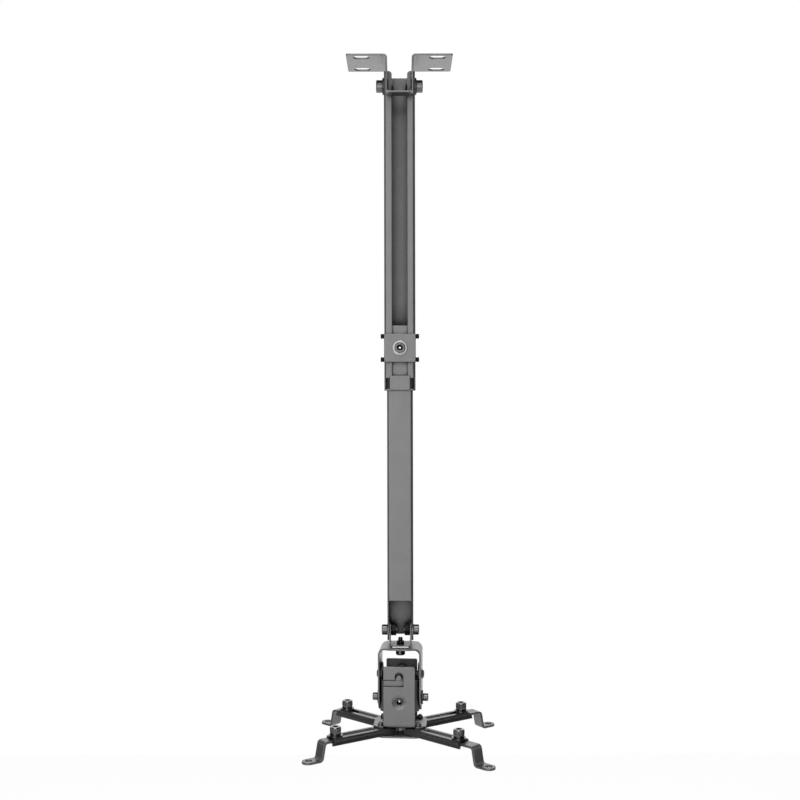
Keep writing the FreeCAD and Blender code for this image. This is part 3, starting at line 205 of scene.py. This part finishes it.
def sheltered(tree, reach, deepest, fade):
    """Painted shade: a small share where surfaces close by hide the sky, and one in the open."""
    shelter = node_named(tree, "ShaderNodeAmbientOcclusion", samples=SHELTER_SAMPLES)
    shelter.inputs["Distance"].default_value = reach
    return ranged(tree, shelter.outputs["AO"], deepest, 1.0, fade[0], fade[1])


def painted_shade(tree, deepest):
    """Painted shade: how much colour and gloss a place keeps, little deep inside folds and narrow gaps, and
    all of them outside.
    """
    folds = sheltered(tree, FOLD_REACH, deepest[0], FOLD_FADE)
    gaps = sheltered(tree, GAP_REACH, deepest[1], GAP_FADE)
    both = node_named(tree, "ShaderNodeMath", operation="MULTIPLY")
    tree.links.new(folds, both.inputs[0])
    tree.links.new(gaps, both.inputs[1])
    return both.outputs["Value"]


def scaled(tree, colour, factor):
    """Darken a colour by a factor."""
    product = node_named(tree, "ShaderNodeVectorMath", operation="SCALE")
    tree.links.new(colour, product.inputs[0])
    tree.links.new(factor, product.inputs["Scale"])
    return product.outputs["Vector"]


def index_for(reflection):
    """The refractive index at which a surface seen head on mirrors this share of the light."""
    root = math.sqrt(reflection)
    return (1 + root) / (1 - root)


def surface(name, tones, rough, reflection, deepest, texture):
    """A finish with cloudy tone, uneven gloss, a fine raised grain and painted shade that darkens colour and
    gloss deep inside folds and gaps.
    """
    cloud_scale, grain_scale, grain_height = texture
    material = bpy.data.materials.new(name)
    material.use_nodes = True
    tree = material.node_tree
    shader = tree.nodes["Principled BSDF"]
    shader.inputs["IOR"].default_value = index_for(reflection)
    cloud = object_noise(tree, cloud_scale, CLOUD_DETAIL)
    grain = object_noise(tree, grain_scale, GRAIN_DETAIL)
    # Painted shade: colour and gloss are darkened where folds and narrow gaps hide the sky.
    painted_shade_share = painted_shade(tree, deepest)
    tone = grey_ramp(tree, cloud.outputs["Fac"], tones[0], tones[1])
    tree.links.new(scaled(tree, tone, painted_shade_share), shader.inputs["Base Color"])
    gloss = node_named(tree, "ShaderNodeMath", operation="MULTIPLY")
    gloss.inputs[1].default_value = FULL_GLOSS
    tree.links.new(painted_shade_share, gloss.inputs[0])
    tree.links.new(gloss.outputs["Value"], shader.inputs["Specular IOR Level"])
    tree.links.new(ranged(tree, grain.outputs["Fac"], rough[0], rough[1]), shader.inputs["Roughness"])
    bump = node_named(tree, "ShaderNodeBump")
    bump.inputs["Strength"].default_value = GRAIN_STRENGTH
    bump.inputs["Distance"].default_value = grain_height
    soft = node_named(tree, "ShaderNodeBevel", samples=SOFT_SAMPLES)
    soft.inputs["Radius"].default_value = EDGE_SOFT
    tree.links.new(soft.outputs["Normal"], bump.inputs["Normal"])
    tree.links.new(grain.outputs["Fac"], bump.inputs["Height"])
    tree.links.new(bump.outputs["Normal"], shader.inputs["Normal"])
    return material


def bright_steel():
    """Bright steel with a fine grain, for the painted highlights on an edge, in two sockets and on a pin."""
    material = bpy.data.materials.new("bright_steel")
    material.use_nodes = True
    tree = material.node_tree
    shader = tree.nodes["Principled BSDF"]
    shader.inputs["Metallic"].default_value = STEEL_METAL
    grain = object_noise(tree, STEEL_GRAIN, STEEL_DETAIL)
    tone = grey_ramp(tree, grain.outputs["Fac"], STEEL_TONES[0], STEEL_TONES[1])
    tree.links.new(tone, shader.inputs["Base Color"])
    rough = ranged(tree, grain.outputs["Fac"], STEEL_ROUGH[0], STEEL_ROUGH[1])
    tree.links.new(rough, shader.inputs["Roughness"])
    return material


FINISHES = {name: surface(name, *settings) for name, settings in FINISH_SETTINGS.items()}


def finish_of_nodes():
    """Each CAD node's finish: its slot in the record, but for pieces that look different in the photo."""
    finish_of = {entry["node"]: entry["material_slot"] for entry in frame["record"]["subparts"]}
    for side_screws in ("top_pivot_screws", "low_pivot_screws", "tilt_lock_screws"):
        finish_of[side_screws] = "bright_oxide"
    for corner in CORNERS:
        # The arms take a darker copy of the same paint, a painted shade.
        finish_of["arm_" + corner] = "shaded_arm_finish"
        finish_of["leg_screw_" + corner] = "knurled_oxide"
    # The low pivot nuts sit in shade inside the tube; their dull black is painted shade.
    finish_of["low_pivot_nuts"] = "dull_black"
    # The hub spacer sits in shade; its light zinc tone is partly painted light.
    finish_of["hub_spacer"] = "zinc_with_painted_light"
    return finish_of


def dress_nodes():
    """Give every CAD node its finish and a small softened edge."""
    for node, finish in finish_of_nodes().items():
        piece = bpy.data.objects[node]
        piece.data.materials.clear()
        piece.data.materials.append(FINISHES[finish])
        bevel = piece.modifiers.new("edges", "BEVEL")
        bevel.width = EDGE_BEVEL
        bevel.segments = EDGE_STEPS
        bevel.limit_method = "ANGLE"
        bevel.angle_limit = math.radians(EDGE_ANGLE)


def disc(name, place, direction, radius, thick, material, body):
    """A small round piece that rides on a body, its axis along a direction."""
    bpy.ops.mesh.primitive_cylinder_add(vertices=DISC_POINTS, radius=radius, depth=thick, location=place)
    piece = bpy.context.object
    piece.name = name
    piece.rotation_euler = Vector(direction).to_track_quat("Z", "Y").to_euler()
    piece.data.materials.append(material)
    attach(piece, body)


def strip(name, centre, sizes, lean, material, body):
    """A thin flat piece that leans about the X axis and rides on a body."""
    bpy.ops.mesh.primitive_cube_add(size=1, location=centre)
    piece = bpy.context.object
    piece.name = name
    piece.scale = sizes
    bpy.ops.object.transform_apply(location=False, rotation=False, scale=True)
    piece.rotation_euler = (math.radians(lean), 0, 0)
    piece.data.materials.append(material)
    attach(piece, body)


def lathed(name, start, direction, profile, points, material, body):
    """A closed sleeve of rings along an axis, each with its distance along it and radii to go round with."""
    vertices = []
    for along, radii in profile:
        for number in range(points):
            angle = 2 * math.pi * number / points
            radius = radii[number % len(radii)]
            vertices.append((radius * math.cos(angle), radius * math.sin(angle), along))
    faces = []
    for level in range(len(profile)):
        low = level * points
        high = (level + 1) % len(profile) * points
        for number in range(points):
            after = (number + 1) % points
            faces.append((low + number, low + after, high + after, high + number))
    mesh = bpy.data.meshes.new(name)
    mesh.from_pydata(vertices, [], faces)
    mesh.materials.append(material)
    piece = bpy.data.objects.new(name, mesh)
    scene.collection.objects.link(piece)
    piece.location = start
    piece.rotation_euler = Vector(direction).to_track_quat("Z", "Y").to_euler()
    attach(piece, body)


def head_back():
    """The direction from the front of the head to its back."""
    turn = math.radians(HEAD_TURN)
    return Vector((math.sin(turn), math.cos(turn), 0))


def socket_glints(highlight_steel):
    """Bright steel spots at the bottom of the clamp screw's and roll lock screw's sockets, painted glints.
    """
    clamp_low, clamp_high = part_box("clamp_screw")
    clamp_place = (0, clamp_low.y + CLAMP_POINT_IN, (clamp_low.z + clamp_high.z) / 2)
    disc("clamp_screw_point", clamp_place, (0, -1, 0), CLAMP_POINT_RADIUS, POINT_THICK, highlight_steel, "tube")
    roll_low, roll_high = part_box("roll_lock_screw")
    roll_place = head_back() * -ROLL_POINT_FRONT
    roll_place.z = (roll_low.z + roll_high.z) / 2
    disc("roll_screw_point", roll_place, -head_back(), ROLL_POINT_RADIUS, POINT_THICK, highlight_steel, "hanger")


def rear_pin(highlight_steel):
    """The head of the rear hook pin, which closes the pin's hole, and a bright steel spot on the head, a
    painted highlight.
    """
    pin_low, pin_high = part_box("hook_pins")
    back = head_back()
    place = back * PIN_HEAD_BACK
    place.z = (pin_low.z + pin_high.z) / 2
    disc("hook_pin_head", place, back, PIN_HEAD_RADIUS, PIN_HEAD_THICK, FINISHES["powder_coat"],
         "tilt_bracket")
    # A bright steel spot on the pin's head, a painted highlight.
    spot_place = place - back * (PIN_HEAD_THICK / 2)
    disc("hook_pin_spot", spot_place, back, PIN_SPOT_RADIUS, PIN_SPOT_THICK, highlight_steel, "tilt_bracket")


def highlight_edge(highlight_steel):
    """A bright steel strip on the lower front edge of the clevis, a painted highlight."""
    clevis_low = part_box("swivel_clevis")[0]
    centre = (0, clevis_low.y - HIGHLIGHT_EDGE_OUT, clevis_low.z + HIGHLIGHT_EDGE_UP)
    strip("clevis_highlight_edge", centre, HIGHLIGHT_EDGE_SIZES, HIGHLIGHT_EDGE_LEAN, highlight_steel, "clevis")


def knurls():
    """Fine upright ridges round the heads of the leg screws."""
    for corner in CORNERS:
        node = "leg_screw_" + corner
        low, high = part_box(node)
        radius = (high.x - low.x) / 2
        place = ((low.x + high.x) / 2, (low.y + high.y) / 2, high.z - KNURL_HIGH - KNURL_DOWN)
        ridged = (radius + KNURL_RISE, radius + VALLEY_RISE)
        sunk = (radius - SUNK,)
        profile = [(0, sunk), (KNURL_RISE, ridged), (KNURL_HIGH - KNURL_RISE, ridged), (KNURL_HIGH, sunk)]
        lathed(node + "_knurl", place, (0, 0, 1), profile, 2 * KNURL_COUNT, FINISHES["knurled_oxide"],
               "leg_" + corner)


def ridges(name, start, direction, length, radius, body, finish):
    """Thread ridges from a start along a direction."""
    turns = int(length / THREAD_PITCH)
    profile = [(0, (radius - SUNK,))]
    for turn in range(turns):
        profile.append((turn * THREAD_PITCH, (radius + VALLEY_RISE,)))
        profile.append(((turn + 0.5) * THREAD_PITCH, (radius + THREAD_RISE,)))
    profile.append((turns * THREAD_PITCH, (radius + VALLEY_RISE,)))
    profile.append((turns * THREAD_PITCH, (radius - SUNK,)))
    lathed(name, start, direction, profile, THREAD_POINTS, FINISHES[finish], body)


def threads():
    """Thread ridges on the open end of the swivel screw and on the grub screws."""
    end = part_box("swivel_screw")[1].z
    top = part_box("swivel_nut")[1].z
    ridges("swivel_thread", (0, 0, top), (0, 0, 1), end - top, SWIVEL_RADIUS, "clevis", "black_oxide")
    low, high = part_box("side_grub_screws")
    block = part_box("clamp_block")[1].x
    radius = (high.y - low.y) / 2
    middle = (low.y + high.y) / 2
    for side, hand in ((1, "right"), (-1, "left")):
        for row, level in (("upper", high.z - radius), ("lower", low.z + radius)):
            name = "grub_thread_%s_%s" % (row, hand)
            start = (block * side, middle, level)
            ridges(name, start, (side, 0, 0), high.x - block, radius, "tube", "dull_black")


def small_pieces():
    """Pieces too small for the solid model."""
    # Bright steel for the painted highlights and glints below.
    highlight_steel = bright_steel()
    socket_glints(highlight_steel)
    rear_pin(highlight_steel)
    highlight_edge(highlight_steel)
    knurls()
    threads()


def rays_that_see(tree):
    """One for camera, mirror and glass rays, and nought for the rest."""
    rays = node_named(tree, "ShaderNodeLightPath")
    seen = node_named(tree, "ShaderNodeMath", operation="MAXIMUM")
    tree.links.new(rays.outputs["Is Camera Ray"], seen.inputs[0])
    tree.links.new(rays.outputs["Is Glossy Ray"], seen.inputs[1])
    either = node_named(tree, "ShaderNodeMath", operation="MAXIMUM")
    tree.links.new(seen.outputs["Value"], either.inputs[0])
    tree.links.new(rays.outputs["Is Transmission Ray"], either.inputs[1])
    return either.outputs["Value"]


def white_for_camera(tree, shader_output, share):
    """Show plain white to camera, mirror and glass rays, and keep a share of the real surface."""
    glow = node_named(tree, "ShaderNodeEmission")
    glow.inputs["Strength"].default_value = 1.0
    glow.inputs["Color"].default_value = (1, 1, 1, 1)
    amount = node_named(tree, "ShaderNodeMath", operation="MULTIPLY")
    amount.inputs[1].default_value = 1.0 - share
    tree.links.new(rays_that_see(tree), amount.inputs[0])
    mix = node_named(tree, "ShaderNodeMixShader")
    tree.links.new(amount.outputs["Value"], mix.inputs["Fac"])
    tree.links.new(shader_output, mix.inputs[1])
    tree.links.new(glow.outputs["Emission"], mix.inputs[2])
    return mix.outputs["Shader"]


def stage_plane(name, size, place, turn, share):
    """A white plane of the stage, which keeps a share of its own shading."""
    bpy.ops.mesh.primitive_plane_add(size=size, location=place, rotation=turn)
    plane = bpy.context.object
    plane.name = name
    material = bpy.data.materials.new(name)
    material.use_nodes = True
    tree = material.node_tree
    shader = tree.nodes["Principled BSDF"]
    shader.inputs["Base Color"].default_value = (PLANE_GREY, PLANE_GREY, PLANE_GREY, 1)
    shader.inputs["Roughness"].default_value = PLANE_ROUGH
    output = tree.nodes["Material Output"]
    shown = white_for_camera(tree, shader.outputs["BSDF"], share)
    tree.links.new(shown, output.inputs["Surface"])
    plane.data.materials.append(material)


def dark_room():
    """Dark cards all round, unseen by the camera, so that the sides of the object mirror no white."""
    bpy.ops.mesh.primitive_cube_add(size=1, location=ROOM_PLACE)
    room = bpy.context.object
    room.name = "dark_room"
    room.scale = ROOM_SIZES
    room.visible_camera = False
    material = bpy.data.materials.new("dark_card")
    material.use_nodes = True
    shader = material.node_tree.nodes["Principled BSDF"]
    shader.inputs["Base Color"].default_value = (ROOM_GREY, ROOM_GREY, ROOM_GREY, 1)
    shader.inputs["Roughness"].default_value = 1.0
    shader.inputs["Specular IOR Level"].default_value = 0.0
    room.data.materials.append(material)


def white_world():
    """White for the rays that see, and a low even light for the rest."""
    world = bpy.data.worlds.new("studio")
    scene.world = world
    world.use_nodes = True
    tree = world.node_tree
    background = tree.nodes["Background"]
    background.inputs["Color"].default_value = (1, 1, 1, 1)
    strength = ranged(tree, rays_that_see(tree), WORLD_LEVEL, 1.0, 0.0, 1.0)
    tree.links.new(strength, background.inputs["Strength"])


def stage():
    """Dark cards, a pale floor, a pale backdrop and the world."""
    dark_room()
    stage_plane("floor", FLOOR_SIZE, (0, FLOOR_BACK, FLOOR_LEVEL), (0, 0, 0), FLOOR_SHADING)
    stage_plane("backdrop", BACKDROP_SIZE, (0, BACKDROP_AT, 0), (math.pi / 2, 0, 0), BACKDROP_SHADING)
    white_world()


def lamp(name, place, target, wide, high, radiance):
    """A soft box of even brightness pointed at a target."""
    light = bpy.data.lights.new(name, "AREA")
    light.shape = "RECTANGLE"
    light.size = wide
    light.size_y = high
    light.energy = radiance * math.pi * wide * high
    holder = bpy.data.objects.new(name, light)
    scene.collection.objects.link(holder)
    holder.location = place
    aim = Vector(target) - Vector(place)
    holder.rotation_euler = aim.to_track_quat("-Z", "Y").to_euler()
    holder.visible_camera = False


def lights():
    """Soft boxes in front to the left, above, behind and at both sides; places and sizes in metres."""
    lamp("front_box", place=(-0.50, -1.4, -0.23), target=(-0.50, 0, -0.23), wide=1.5, high=1.6, radiance=1.8)
    lamp("top_box", place=(0.0, -0.68, 1.05), target=(0, 0, -0.4), wide=1.0, high=0.9, radiance=3.5)
    lamp("back_box", place=(0.0, 2.4, -0.33), target=(0, 0, -0.33), wide=2.4, high=2.2, radiance=0.62)
    for name, side in (("left_box", -1), ("right_box", 1)):
        lamp(name, place=(1.9 * side, 0.45, 0.0), target=(0, 0, -0.3), wide=1.0, high=1.4, radiance=0.6)


def camera():
    """The photograph's view, square to the front and half way down the column."""
    view = bpy.data.cameras.new("photo_view")
    view.sensor_width = SENSOR_MM
    view.lens = SENSOR_MM * FOCAL_PIXELS / IMAGE_PIXELS
    view.clip_start = CLIP_NEAR
    view.clip_end = CLIP_FAR
    holder = bpy.data.objects.new("photo_view", view)
    scene.collection.objects.link(holder)
    holder.location = CAMERA_PLACE
    holder.rotation_euler = (math.pi / 2, math.radians(CAMERA_ROLL), 0)
    scene.camera = holder


dress_nodes()
small_pieces()
stage()
lights()
camera()
